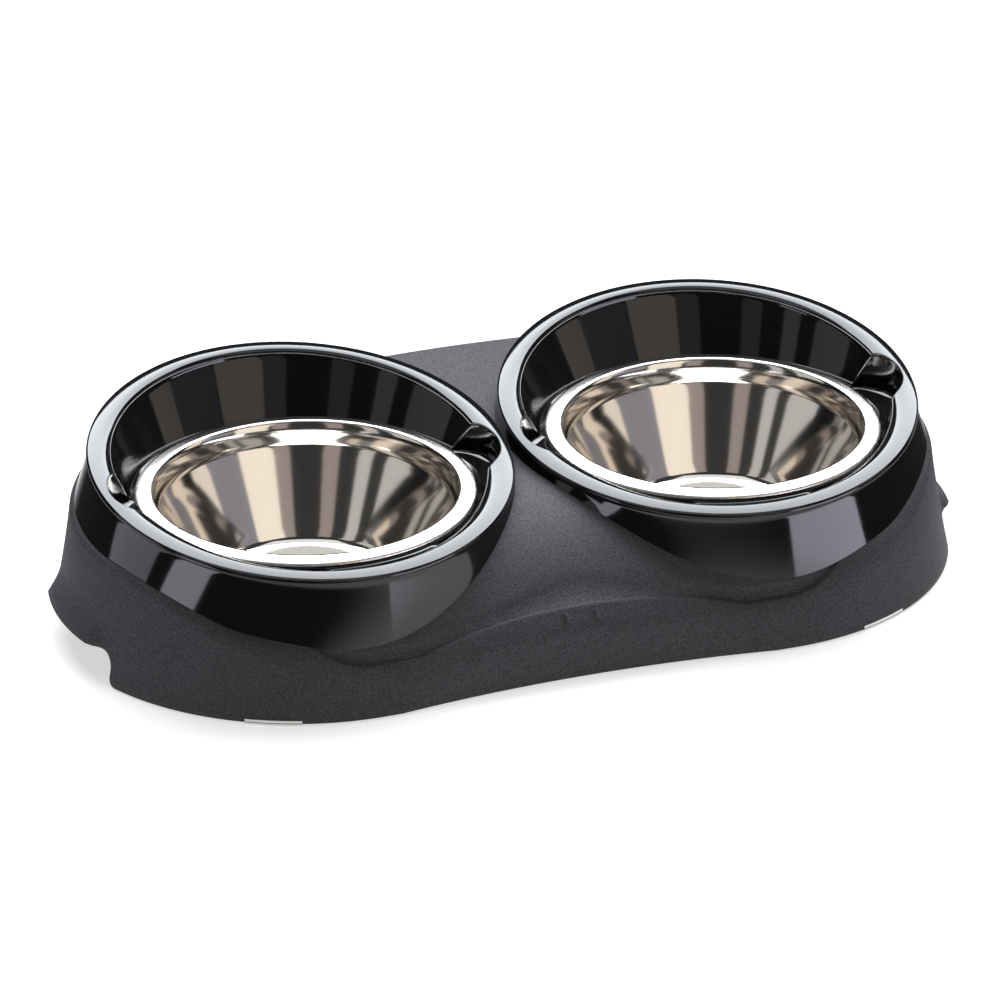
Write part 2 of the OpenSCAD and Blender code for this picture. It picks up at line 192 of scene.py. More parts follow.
class PETBOWL_PG_holder(bpy.types.PropertyGroup):
    """Sizes of the gloss holders."""

    axis_y: length("Axis", "Place of the holder's axis", -0.0031)
    foot_y: length("Foot axis", "Place of the band's axis at the deck", -0.0008)
    rim_z: length("Rim height", "Height of the rim's plane at the axis", 0.0809)
    tilt: angle("Tilt", "Tilt of the rim, low at the front", 9.41)
    roll: angle("Roll", "Sideways tilt of the rim, high at the outer end", 1.27)
    rim_r: length("Rim radius", "Radius at which the rim's outer rounding begins", 0.09906)
    crest_in: length("Crest place", "Distance from the outer rounding in to the crest", 0.0055)
    crown_r: length("Crown radius", "Radius of the rim's crown outside the crest", 0.018)
    crown: length("Crown", "Height of the crest over the plane", 0.00116)
    edge_r: length("Outer rounding", "Radius of the rim's outer edge", 0.0015)
    edge_under: angle("Rounding end", "How far the outer edge turns in below", 25.0)
    lip: length("Lip", "Width of the step under the rim", 0.001)
    in_ring_r: length("Inner ring", "Radius of the rim's inner edge", 0.08796)
    in_ring_y: length("Inner ring shift", "How far the inner edge's centre lies back", 0.00176)
    in_ring_h: length("Inner ring depth", "Depth of the inner edge under the plane", 0.00125)
    in_edge_r: length("Inner rounding", "Rounding of the rim's inner edge", 0.0005)
    in_least: length("Least inner radius", "Nearest that the edge comes to the bowl's axis", 0.0826)
    in_round: length("Inner blend", "Rounding where the least radius takes over", 0.003)
    in_low: length("Low edge", "Height over the seat below which the wall is upright", 0.0015)
    in_bend: number("Inner bend", "Sine of the angle that the crown's inner side turns", 0.87)
    in_reach: number("Inner reach", "How far the crown goes on past its inner edge", 1.1)
    in_width: length("Inner width", "Least width of the crown's inner side", 0.001)
    foot_gap: length("Foot gap", "Height of the band's foot over the deck", 0.0001)
    foot_r: length("Foot radius", "Radius of the band's foot", 0.103)
    foot_shift: length("Foot shift", "How far the foot stands outwards", 0.0025)
    flare: number("Flare", "How late the band flares towards its foot", 1.12)
    inner_r: length("Inner radius", "Radius of the inner wall at the seat", 0.0822)
    seat_z: length("Seat", "Height of the seat", 0.0659)
    seat_r: length("Seat radius", "Inner radius of the seat", 0.075)
    seat_t: length("Seat thickness", "Depth of the seat's inner edge", 0.0022)
    notch_w: length("Notch width", "Width of a finger notch", 0.036)
    notch_d: length("Notch depth", "Depth of a finger notch", 0.0095)
    notch_end: length("Notch end", "How far a notch reaches from the bowl's axis", 0.0954)
    notch_edge: length("Notch edge", "Rounding between a notch and the wall", 0.0009)
    colour: colour("Colour", "Colour of the gloss plastic", (0.004, 0.004, 0.0045))


class PETBOWL_PG_bowl(bpy.types.PropertyGroup):
    """Sizes of the steel bowls."""

    axis_y: length("Axis", "Place of the bowl's axis", -0.01)
    top_z: length("Height", "Height of the flange's inner edge", 0.07)
    flange_in: length("Flange inside", "Inner radius of the flange", 0.072)
    flange_r: length("Flange outside", "Outer radius of the flange", 0.08)
    fall: length("Flange fall", "How far the flange falls outwards", 0.0012)
    fall_bend: number("Flange bend", "How late the flange falls", 1.1)
    roll_r: length("Rolled edge", "Radius of the rolled edge", 0.0013)
    depth: length("Depth", "Depth below the flange", 0.053)
    bottom_r: length("Bottom", "Radius of the flat bottom", 0.05)
    corner_r: length("Corner", "Rounding between the bottom and the wall", 0.006)
    crease_r: length("Crease radius", "Radius of the shoulder's crease", 0.0695)
    crease_z: length("Crease depth", "Depth of the shoulder's crease", 0.012)
    neck_low: number("Neck start", "Share of the shoulder's width at the crease", 0.1)
    neck_bend: number("Neck bend", "How late the shoulder widens", 2.4)
    neck_edge: length("Neck edge", "Depth at which the shoulder meets the flange", 0.0004)
    lead_w: length("Lead", "Width of the flange's first step", 0.0006)
    lead_h: length("Lead depth", "Depth of the flange's first step", 0.00005)
    disc_r: length("Disc radius", "Radius of the bottom's raised disc", 0.025)
    disc_h: length("Disc height", "Height of the raised disc", 0.0012)
    sheet: length("Sheet", "Thickness of the steel", 0.0008)
    colour: colour("Colour", "Colour of the steel", (0.78, 0.745, 0.7))


class PETBOWL_PG_studio(bpy.types.PropertyGroup):
    """Camera and light."""

    azimuth: angle("Azimuth", "Camera's angle round the part", -20.22)
    elevation: angle("Elevation", "Camera's angle above the floor", 25.83)
    distance: length("Distance", "Camera's distance from its aim", 3.5391)
    lens: number("Lens", "Focal length in millimetres on a 36 mm frame", 270.41)
    aim: triple(
        "Aim",
        "Point that the camera looks at",
        (-0.00566, -0.01, 0.04654),
        subtype="TRANSLATION",
        unit="LENGTH",
    )
    key: number("Key", "Radiance of the softbox behind and above", 10.0)
    side: number("Side", "Radiance of the strips round the sides and front", 1.1)
    sky: number("Surround", "Strength of the dim surround", 0.04)
    floor: number("Floor", "Albedo of the pale floor", 0.45)
    glow: number("Glow", "Light that the floor gives off, which softens the shadow", 0.6)


GROUPS = {
    "stand": PETBOWL_PG_stand,
    "holder": PETBOWL_PG_holder,
    "bowl": PETBOWL_PG_bowl,
    "studio": PETBOWL_PG_studio,
}


def settings(key):
    """The scene's settings of one kind."""
    return getattr(bpy.context.scene, "pet_bowl_" + key)


# Curves that the pieces share


def skirt_r(s, z):
    """Radius of the stand's round ends at a height."""
    return s.end_r - s.draft * z + s.ease * (z / s.skirt_h) ** 2


def deck_z(s, x, y):
    """Height of the crowned deck: a slope with a rolled front, which falls towards both ends."""
    lean = math.atan(s.deck_slope)
    centre_y = s.roll_y + s.roll_r * math.sin(lean)
    centre_z = s.deck_z - s.roll_r * math.cos(lean)
    z = s.deck_z + s.deck_slope * (y - s.roll_y)
    if y < s.roll_y:
        z = centre_z + math.sqrt(max(s.roll_r**2 - (y - centre_y) ** 2, 0.0))
    away = math.hypot(x, s.fall_ease) - s.fall_ease
    return z - s.fall * away * smooth_step((y - s.fall_y) / s.fall_reach)


def smooth_max(a, b, r):
    """The larger of two distances, with the corner between them rounded."""
    return max(a, b) + max(r - abs(a - b), 0.0) ** 2 / (4 * r)


def smooth_step(t):
    """0 to 1 with level ends."""
    t = min(max(t, 0.0), 1.0)
    return t * t * (3 - 2 * t)


def spread(a, b, count):
    """Evenly spaced numbers from a to b, both included."""
    return [a + (b - a) * i / (count - 1) for i in range(count)]


def arc_points(x, y, r, start, end, count):
    """Points of an arc, its angles in degrees."""
    turns = [math.radians(t) for t in spread(start, end, count)]
    return [(x + r * math.cos(t), y + r * math.sin(t)) for t in turns]


def new_piece(name, verts, edges=(), faces=()):
    """A new object in the scene, from plain mesh data."""
    mesh = bpy.data.meshes.new(name)
    mesh.from_pydata(verts, edges, faces)
    piece = bpy.data.objects.new(name, mesh)
    bpy.context.scene.collection.objects.link(piece)
    return piece


def sheet_mesh(name, rows, closed):
    """A mesh of quads over rows of points. closed joins the last row to the first."""
    count = len(rows[0])
    verts = [p for row in rows for p in row]
    pairs = [(i * count, (i + 1) % len(rows) * count) for i in range(len(rows))]
    if not closed:
        pairs.pop()
    faces = [(a + j, b + j, b + j + 1, a + j + 1) for a, b in pairs for j in range(count - 1)]
    piece = new_piece(name, verts, faces=faces)
    piece.data.validate()
    piece.data.shade_smooth()
    return piece


def bake(piece):
    """Turns a piece's modifiers into its mesh."""
    graph = bpy.context.evaluated_depsgraph_get()
    mesh = bpy.data.meshes.new_from_object(piece.evaluated_get(graph))
    piece.modifiers.clear()
    piece.data = mesh
    mesh.name = piece.name


def weld(piece):
    """Joins points that lie on each other."""
    mod = piece.modifiers.new("Weld", "WELD")
    mod.merge_threshold = WELD_DISTANCE
    bake(piece)


def thicken(piece, thickness, offset=-1.0):
    """Gives a sheet its thickness, behind its faces or, with offset 0, to both sides."""
    mod = piece.modifiers.new("Thickness", "SOLIDIFY")
    mod.thickness = thickness
    mod.offset = offset
    bake(piece)


def new_tree(kind, name, inputs, outputs):
    """A node tree of a kind with named sockets, (type, name, any default), and its two ends."""
    tree = bpy.data.node_groups.new(name, kind + "NodeTree")
    for way, sockets in (("INPUT", inputs), ("OUTPUT", outputs)):
        for socket_type, label, *default in sockets:
            socket = tree.interface.new_socket(
                label, in_out=way, socket_type="NodeSocket" + socket_type
            )
            if default:
                socket.default_value = default[0]
    return tree, tree.nodes.new("NodeGroupInput"), tree.nodes.new("NodeGroupOutput")


def wire(tree, *links):
    """Links outputs to inputs, each given as (node, output's name, node, input's name)."""
    for source, out, target, into in links:
        tree.links.new(source.outputs[out], target.inputs[into])


def finish_tree(tree, given, made, out, result):
    """Ends a tree: what a node made is realized, takes the Material input and goes out."""
    realize = tree.nodes.new("GeometryNodeRealizeInstances")
    dressed = tree.nodes.new("GeometryNodeSetMaterial")
    wire(
        tree,
        (made, out, realize, "Geometry"),
        (realize, "Geometry", dressed, "Geometry"),
        (given, "Material", dressed, "Material"),
        (dressed, "Geometry", result, "Geometry"),
    )


def grow(piece, tree, **inputs):
    """Runs a Geometry Nodes tree on a piece, its inputs set by identifier, and bakes it."""
    mod = piece.modifiers.new(tree.name, "NODES")
    mod.node_group = tree
    for item in tree.interface.items_tree:
        if item.in_out == "INPUT" and item.name in inputs:
            mod[item.identifier] = inputs[item.name]
    bake(piece)


# Stand


def waist(s, x, z):
    """How far the front wall stands behind the ends' line at x, at a height."""
    far = (s.end_x**2 - s.waist_depth**2) / (2 * s.waist_depth)
    r = far - (s.end_r - s.waist_depth)
    reach = r + s.waist_draft * z
    if abs(x) >= reach:
        return 0.0
    return max(skirt_r(s, z) - (far - math.sqrt(reach**2 - x**2)), 0.0)


def arch_z(s, y):
    """Height of the skirt's lower edge at a distance y from the middle of an end."""
    y = abs(y)
    top_y = s.arch_w - s.arch_top_r
    foot_y = s.arch_w + s.arch_foot_r
    if y >= foot_y:
        return s.gap
    if y > s.arch_w:
        return s.gap + s.arch_foot_r - math.sqrt(s.arch_foot_r**2 - (foot_y - y) ** 2)
    if y > top_y:
        return s.arch_h - s.arch_top_r + math.sqrt(s.arch_top_r**2 - (y - top_y) ** 2)
    return s.arch_h


def stand_stations(s):
    """Places round the stand: (base point, outward direction, kind, angle), in order."""
    near = skirt_r(s, s.arch_h / 2)
    top_y = s.arch_w - s.arch_top_r
    foot_y = s.arch_w + s.arch_foot_r
    quarter = math.pi / 2
    top = spread(0.0, quarter, ARCH_TOP_POINTS)
    foot = spread(0.0, FOOT_TURN, ARCH_FOOT_POINTS)
    marks = [top_y + s.arch_top_r * math.sin(t) for t in top]
    marks += [foot_y - s.arch_foot_r * math.sin(t) for t in foot]
    turns = [math.asin(y / near) for y in marks]
    turns = sorted(turns + [-t for t in turns] + spread(-quarter, quarter, END_POINTS))
    xs = spread(-s.end_x, s.end_x, SIDE_POINTS)[1:-1]
    ring = []
    for way, kind in ((1, "back"), (-1, "front")):
        for t in turns:
            out = (way * math.cos(t), way * math.sin(t))
            ring.append(((way * s.end_x, 0.0), out, "end", t))
        for x in reversed(xs):
            ring.append(((way * x, 0.0), (0.0, way), kind, 0.0))
    return ring


def stand_stop(s, base, out):
    """Distance from a base point to the deck's inner end: an opening, or the neck's middle."""
    bowl_y = settings("bowl").axis_y
    notch_r, notch_at = notch_circle(settings("holder"))
    notch_r += s.notch_gap
    along = out[1] * bowl_y
    if not out[0]:
        dx = s.end_x - abs(base[0])
        half = max(s.hole_r**2 - dx**2, notch_r**2 - (dx - notch_at) ** 2, 0.0)
        return along + math.sqrt(half)
    stop = along + math.sqrt(along**2 + s.hole_r**2 - bowl_y**2)
    reach = notch_at * abs(out[0]) + along
    inside = notch_r**2 - notch_at**2 - bowl_y**2 + reach**2
    return max(stop, reach + math.sqrt(inside)) if inside > 0 else stop


def stand_profile(s, station):
    """Points of the stand's skin at one station, from the skirt's foot to the deck's opening."""
    base, out, kind, turn = station
    front = kind == "front"
    low = arch_z(s, skirt_r(s, s.arch_h / 2) * math.sin(turn)) if kind == "end" else s.gap
    fade = 0.0
    if kind == "end":
        fade = 1 - smooth_step((abs(turn) - s.lip_flat) / (s.lip_fade - s.lip_flat))

    def wall_r(z):
        r = skirt_r(s, z)
        if front:
            r -= waist(s, base[0], z)
        if fade:
            t = min(max((z - s.arch_h) / s.lip_h, 0.0), 1.0)
            r += s.lip_out * fade * (1 - t) ** s.lip_bend
        return r

    def top_z(r):
        return deck_z(s, base[0] + r * out[0], base[1] + r * out[1])

    edge_z = s.deck_z
    for _ in range(EDGE_ROUNDS):
        edge_z = 0.5 * (edge_z + top_z(wall_r(edge_z)))
    edge_r = wall_r(edge_z)
    round_r = s.edge_r
    if front:
        cut_z = top_z(edge_r - s.chamfer) - s.chamfer * s.chamfer_rise
        cut_r = wall_r(cut_z)
        if waist(s, base[0], edge_z) > s.crease_from:
            round_r = s.crease_r

    def outside(r, z):
        wall = r - wall_r(z)
        rise = (top_z(r + SLOPE_STEP) - top_z(r)) / SLOPE_STEP
        deck = (z - top_z(r)) * math.cos(math.atan(rise))
        value = smooth_max(wall, deck, 2 * round_r)
        if front:
            slant = ((z - cut_z) + (r - cut_r)) * math.sqrt(0.5)
            value = smooth_max(value, slant, 2 * s.crease_r)
        return value

    # The corner is drawn where rays from a pivot inside it meet the skin.
    reach = 2 * s.chamfer
    pivot = (edge_r - reach, edge_z - reach)
    line = [(wall_r(z), z) for z in spread(low, pivot[1], SKIRT_POINTS)[:-1]]
    for t in spread(0.0, math.pi / 2, CORNER_POINTS):
        near, far = 0.0, 2 * reach
        for _ in range(HALVINGS):
            mid = 0.5 * (near + far)
            if outside(pivot[0] + mid * math.cos(t), pivot[1] + mid * math.sin(t)) < 0:
                near = mid
            else:
                far = mid
        line.append((pivot[0] + near * math.cos(t), pivot[1] + near * math.sin(t)))
    stop = stand_stop(s, base, out)
    line += [(r, top_z(r)) for r in spread(pivot[0], stop, DECK_POINTS)[1:]]
    return [(base[0] + r * out[0], base[1] + r * out[1], z) for r, z in line]


class PETBOWL_OT_stand(bpy.types.Operator):
    """Builds the moulded stand's skin"""

    bl_idname = "pet_bowl.stand"
    bl_label = "Stand"

    def execute(self, context):
        s = settings("stand")
        rows = [stand_profile(s, station) for station in stand_stations(s)]
        piece = sheet_mesh("stand_body", rows, closed=True)
        weld(piece)
        thicken(piece, s.wall)
        dress(piece, stand_material(s), "stand")
        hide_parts("base_shell")
        return {"FINISHED"}


def rib_rows(s, x):
    """A rib under the neck at x, from wall to wall: lower and upper points along it."""

    def walls(z):
        inset = s.wall * s.rib_sink
        front = skirt_r(s, z) - waist(s, x, z)
        return inset - front, skirt_r(s, z) - inset

    low_front, low_back = walls(s.rib_z)
    drop = s.rib_clear * s.chamfer
    rows = []
    for t in spread(0.0, 1.0, RIB_POINTS):
        z = s.deck_z
        for _ in range(SETTLE_ROUNDS):
            front, back = walls(z)
            y = front + (back - front) * t
            z = deck_z(s, x, y) - s.wall / 2 - max(front + drop - y, 0.0)
        rows.append([(x, low_front + (low_back - low_front) * t, s.rib_z), (x, y, z)])
    return rows


def pad_rows(s, side, back):
    """A moulded pad over a foot, bent with the skirt: closed sections and closed ends."""
    outer = skirt_r(s, s.gap) - s.wall / 2
    inner = outer - s.pad_w
    low = s.gap + s.pocket
    high = low + s.rib
    section = [(inner, low), (outer, low), (outer, high), (inner, high), (inner, low)]
    half = s.pad_span / 2
    rows = []
    for t in spread(s.pad_turn - half, s.pad_turn + half, PAD_POINTS):
        across, along = side * math.cos(t), back * math.sin(t)
        rows.append([(side * s.end_x + r * across, r * along, z) for r, z in section])

    def cap(row):
        corners = row[:-1]
        middle = tuple(sum(values) / len(corners) for values in zip(*corners))
        return [middle] * len(row)

    rows = [cap(rows[0]), *rows, cap(rows[-1])]
    return rows[::-1] if side * back > 0 else rows


def boss_rows(s):
    """A closed tube, one metre tall for the tree to shorten."""
    section = ((s.bore_r, 1.0), (s.bore_r, 0.0), (s.boss_r, 0.0), (s.boss_r, 1.0))
    rows = []
    for t in spread(0.0, math.tau, BOSS_POINTS + 1)[:-1]:
        c, n = math.cos(t), math.sin(t)
        rows.append([(r * c, r * n, z) for r, z in (*section, section[0])])
    return rows


def boss_tree():
    """Geometry Nodes: a part on every point, stretched along Z by the point's own length."""
    tree, given, result = new_tree(
        "Geometry",
        "Bosses",
        [("Geometry", "Places"), ("Object", "Part"), ("Material", "Material")],
        [("Geometry", "Geometry")],
    )
    part = tree.nodes.new("GeometryNodeObjectInfo")
    reach = tree.nodes.new("GeometryNodeInputNamedAttribute")
    reach.inputs["Name"].default_value = "reach"
    stretch = tree.nodes.new("ShaderNodeCombineXYZ")
    stretch.inputs["X"].default_value = 1.0
    stretch.inputs["Y"].default_value = 1.0
    place = tree.nodes.new("GeometryNodeInstanceOnPoints")
    wire(
        tree,
        (given, "Part", part, "Object"),
        (reach, "Attribute", stretch, "Z"),
        (given, "Places", place, "Points"),
        (part, "Geometry", place, "Instance"),
        (stretch, "Vector", place, "Scale"),
    )
    finish_tree(tree, given, place, "Instances", result)
    return tree


def boss_places(s):
    """Lower ends of the screw bosses and their lengths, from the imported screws."""
    found = []
    for name in SIDES:
        low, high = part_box(name + "_holder_screws")
        front, rear = low[1] + s.head_r, high[1] - s.head_r
        for x in (low[0] + s.head_r, high[0] - s.head_r):
            for y in (front, rear):
                z = low[2] + s.head_t + (y - front) * s.seat_slope
                found.append(((x, y, z), deck_z(s, x, y) - s.wall / 2 - z))
    return found


class PETBOWL_OT_underside(bpy.types.Operator):
    """Builds the ribs, screw bosses and foot pads under the stand"""

    bl_idname = "pet_bowl.underside"
    bl_label = "Underside"

    def execute(self, context):
        s = settings("stand")
        material = bpy.data.materials["stand_plastic"]
        for name, side in SIDES.items():
            rib = sheet_mesh(name + "_neck_rib", rib_rows(s, side * s.rib_x), closed=False)
            thicken(rib, s.rib, offset=0.0)
            dress(rib, material, "stand")
            for end, back in (("front", -1), ("back", 1)):
                rows = pad_rows(s, side, back)
                pad = sheet_mesh(end + "_" + name + "_foot_pad", rows, closed=False)
                weld(pad)
                pad.data.shade_flat()
                dress(pad, material, "stand")

        part = sheet_mesh("boss_part", boss_rows(s), closed=True)
        weld(part)
        places = boss_places(s)
        bosses = new_piece("screw_bosses", [place for place, _ in places])
        reach = bosses.data.attributes.new("reach", "FLOAT", "POINT")
        for value, (_, tall) in zip(reach.data, places):
            value.value = tall
        grow(bosses, boss_tree(), Part=part, Material=material)
        bpy.data.objects.remove(part)
        dress(bosses, material, "stand")
        return {"FINISHED"}


# Holders


def rim_point(s, side, a, b, h):
    """A point given in the rim's own tilted and rolled frame, from its axis at rim_z."""
    across = a * math.cos(s.roll) - side * h * math.sin(s.roll)
    rise = side * a * math.sin(s.roll) + h * math.cos(s.roll)
    return (
        across,
        b * math.cos(s.tilt) - rise * math.sin(s.tilt),
        b * math.sin(s.tilt) + rise * math.cos(s.tilt),
    )


def ring_point(s, side, r, h, turn):
    """A point at a radius and height in the rim's frame, and an angle round its axis."""
    return rim_point(s, side, r * math.cos(turn), r * math.sin(turn), h)


def notch_circle(s):
    """Radius of a finger notch's wall, and its centre's distance from the bowl's axis."""
    r = ((s.notch_w / 2) ** 2 + s.notch_d**2) / (2 * s.notch_d)
    return r, s.notch_end - r


def notch_radius(s, turn):
    """Distance from the bowl's axis to a finger notch's wall, or 0 beside it."""
    r, centre = notch_circle(s)
    side = abs(math.sin(turn)) * centre
    if side >= r:
        return 0.0
    return abs(math.cos(turn)) * centre + math.sqrt(r**2 - side**2)


def inner_edge(s, side, turn):
    """Distance from the bowl's axis, and height, of the rim's inner edge without notches."""
    shift = s.axis_y - settings("bowl").axis_y
    way = turn
    for _ in range(SETTLE_ROUNDS):
        a, b = s.in_ring_r * math.cos(way), s.in_ring_y + s.in_ring_r * math.sin(way)
        x, y, z = rim_point(s, side, a, b, -s.in_ring_h)
        miss = turn - math.atan2(y + shift, x)
        way += miss - round(miss / math.tau) * math.tau
    return math.hypot(x, y + shift), s.rim_z + z


def holder_line(s, x, side, turn):
    """Points of a holder's skin at one angle, from the band's foot over the rim to the seat."""
    stand = settings("stand")
    bowl_y = settings("bowl").axis_y
    edge_d, edge_z = inner_edge(s, side, turn)
    edge_d = smooth_max(edge_d, s.in_least, s.in_round)
    notch = notch_radius(s, turn)

    def wall(z):
        tall = edge_z - s.seat_z
        share = (z - s.seat_z) / tall if tall > s.in_low else 1.0
        return smooth_max(s.inner_r + (edge_d - s.inner_r) * share, notch, s.notch_edge)

    def in_rim(d, h):
        px = d * math.cos(turn) + side * h * math.sin(s.roll)
        py = bowl_y - s.axis_y + d * math.sin(turn) + h * math.sin(s.tilt)
        py /= math.cos(s.tilt)
        return math.hypot(px, py), math.atan2(py, px)

    plain_r = in_rim(edge_d, -s.in_ring_h)[0]
    crest_r = s.rim_r - s.crest_in

    def crown(r):
        if r > crest_r:
            return s.crown - s.crown_r + math.sqrt(s.crown_r**2 - (r - crest_r) ** 2)
        share = (crest_r - r) / max(crest_r - plain_r, s.in_width)
        t = s.in_bend * min(share, s.in_reach)
        fall = (1 - math.sqrt(1 - t * t)) / (1 - math.sqrt(1 - s.in_bend**2))
        return s.crown - (s.crown + s.in_ring_h) * fall

    cut_d = smooth_max(edge_d, notch, s.notch_edge)
    cut_r, cut_turn = in_rim(cut_d, -s.in_ring_h)
    for _ in range(CUT_ROUNDS):
        cut_r, cut_turn = in_rim(cut_d, crown(cut_r))
    cut_turn += round((turn - cut_turn) / math.tau) * math.tau

    lean = math.asin(s.crest_in / s.crown_r)
    edge = arc_points(
        s.rim_r - s.edge_r * math.sin(lean),
        crown(s.rim_r) - s.edge_r * math.cos(lean),
        s.edge_r,
        math.degrees(-s.edge_under),
        90.0 - math.degrees(lean),
        ROUNDING_POINTS,
    )
    low_r, low_h = edge[0]
    step = [(low_r + r * s.lip, low_h + h * s.lip) for r, h in STEP]
    top = ring_point(s, side, *step[0], turn)
    foot_x = side * s.foot_shift + s.foot_r * math.cos(turn)
    foot_y = s.foot_y + s.foot_r * math.sin(turn)
    foot_z = deck_z(stand, x + foot_x, foot_y) + s.foot_gap - s.rim_z
    foot = (foot_x, foot_y - s.axis_y, foot_z)
    points = []
    for t in spread(1.0, 0.0, BAND_POINTS)[:-1]:
        shares = (t**s.flare, t**s.flare, t)
        points.append(tuple(a + (b - a) * share for a, b, share in zip(top, foot, shares)))
    points += [ring_point(s, side, r, h, turn) for r, h in step + edge]
    start, stop = s.rim_r, cut_r + s.in_edge_r
    for t in spread(0.0, 1.0, CROWN_POINTS)[1:]:
        r = start + (stop - start) * t
        way = turn + (cut_turn - turn) * t
        points.append(ring_point(s, side, r, crown(r), way))
    centre_h = crown(stop) - s.in_edge_r
    for r, h in arc_points(stop, centre_h, s.in_edge_r, *INNER_ARC, INNER_EDGE_POINTS):
        points.append(ring_point(s, side, r, h, cut_turn))
    points = [(x + px, s.axis_y + py, s.rim_z + pz) for px, py, pz in points]

    inside = [(wall(z), z) for z in spread(points[-1][2], s.seat_z, INNER_WALL_POINTS)[1:]]
    inner, outer = s.seat_r, wall(s.seat_z)
    inside += [((inner + outer) / 2, s.seat_z), (inner, s.seat_z), (inner, s.seat_z - s.seat_t)]
    for r, z in inside:
        points.append((x + r * math.cos(turn), bowl_y + r * math.sin(turn), z))
    return points


class PETBOWL_OT_holders(bpy.types.Operator):
    """Builds the two gloss holders"""

    bl_idname = "pet_bowl.holders"
    bl_label = "Holders"

    def execute(self, context):
        s = settings("holder")
        end_x = settings("stand").end_x
        near_notch = NOTCH_FINE * math.asin(s.notch_w / 2 / s.inner_r)
        turns = spread(-math.pi / 2, 3 * math.pi / 2, RING_POINTS)[:-1]
        fine = spread(-near_notch, near_notch, NOTCH_POINTS)
        turns = sorted(set(turns + fine + [math.pi + t for t in fine]))
        material = holder_material(s)
        for name, side in SIDES.items():
            rows = [holder_line(s, side * end_x, side, t) for t in turns]
            piece = sheet_mesh(name + "_holder_body", rows, closed=True)
            dress(piece, material, "stand")
            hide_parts(name + "_holder")
        return {"FINISHED"}


# Bowls


def bowl_line(s):
    """The sheet's inner side, from the bottom's middle to the rolled edge, below the flange."""
    slope = math.degrees(math.atan2(s.depth - s.crease_z, s.crease_r - s.bottom_r))
    line = [(0.0, s.disc_h - s.depth)]
    line += [(s.disc_r + out, s.disc_h * share - s.depth) for out, share in DISC_EDGE]
    line += arc_points(
        s.bottom_r - s.corner_r,
        s.corner_r - s.depth,
        s.corner_r,
        -90.0,
        slope - 90.0,
        ROUNDING_POINTS,
    )
    low_r, low_z = line[-1]
    for t in spread(0.0, CONE_END, CONE_POINTS)[1:]:
        line.append((low_r + (s.crease_r - low_r) * t, low_z + (-s.crease_z - low_z) * t))
    line += [(s.crease_r + out, up - s.crease_z) for out, up in CREASE]
    neck = s.flange_in - s.crease_r
    rise = s.crease_z - s.neck_edge
    for t in spread(SHOULDER_START, 1.0, SHOULDER_POINTS):
        share = s.neck_low + (1 - s.neck_low) * t**s.neck_bend
        line.append((s.crease_r + neck * share, rise * t - s.crease_z))
    line.append((s.flange_in + s.lead_w, -s.lead_h))
    roll_at = s.flange_r - s.roll_r
    for t in spread(FLANGE_START, 1.0, FLANGE_POINTS):
        r = s.flange_in + (roll_at - s.flange_in) * t
        line.append((r, -s.fall * t**s.fall_bend))
    line += arc_points(roll_at, -s.fall - s.roll_r, s.roll_r, *ROLL_ARC, ROUNDING_POINTS)
    return line


def lathe_tree():
    """Geometry Nodes: sweeps a profile, drawn beside the axis, once round it."""
    tree, given, result = new_tree(
        "Geometry",
        "Lathe",
        [
            ("Geometry", "Profile"),
            ("Float", "Radius"),
            ("Int", "Steps", LATHE_STEPS),
            ("Material", "Material"),
        ],
        [("Geometry", "Geometry")],
    )
    curve = tree.nodes.new("GeometryNodeMeshToCurve")
    circle = tree.nodes.new("GeometryNodeCurvePrimitiveCircle")
    sweep = tree.nodes.new("GeometryNodeCurveToMesh")
    merge = tree.nodes.new("GeometryNodeMergeByDistance")
    smooth = tree.nodes.new("GeometryNodeSetShadeSmooth")
    wire(
        tree,
        (given, "Profile", curve, "Mesh"),
        (given, "Radius", circle, "Radius"),
        (given, "Steps", circle, "Resolution"),
        (circle, "Curve", sweep, "Curve"),
        (curve, "Curve", sweep, "Profile Curve"),
        (sweep, "Mesh", merge, "Geometry"),
        (merge, "Geometry", smooth, "Geometry"),
    )
    finish_tree(tree, given, smooth, "Geometry", result)
    return tree


class PETBOWL_OT_bowls(bpy.types.Operator):
    """Turns the two steel bowls"""

    bl_idname = "pet_bowl.bowls"
    bl_label = "Bowls"

    def execute(self, context):
        s = settings("bowl")
        end_x = settings("stand").end_x
        tree = lathe_tree()
        points = [(r - s.bottom_r, -z, 0.0) for r, z in bowl_line(s)]
        edges = [(i, i + 1) for i in range(len(points) - 1)]
        for name, side in SIDES.items():
            material = steel_material(s, name, side * end_x)
            piece = new_piece(name + "_bowl_body", points, edges)
            grow(piece, tree, Radius=s.bottom_r, Material=material)
            for v in piece.data.vertices:
                v.co += Vector((side * end_x, s.axis_y, s.top_z))
            thicken(piece, s.sheet)
            dress(piece, material, name + "_bowl")
            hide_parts(name + "_bowl")
        return {"FINISHED"}


class PETBOWL_OT_small(bpy.types.Operator):
    """Finishes the rubber feet and the screws, which keep their CAD shapes"""

    bl_idname = "pet_bowl.small"
    bl_label = "Feet and screws"

    def execute(self, context):
        rubber, zinc = rubber_material(), zinc_material()
        for name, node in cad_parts.items():
            if name.endswith("_foot"):
                paint(node, rubber)
            if name.endswith("_screws"):
                paint(node, zinc)
        return {"FINISHED"}


# Materials


def dress(piece, material, body):
    """Gives a new piece its material and the body it rides on."""
    paint(piece, material)
    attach(piece, body)


def paint(piece, material):
    """Puts one material on the whole of a piece."""
    piece.data.materials.clear()
    piece.data.materials.append(material)


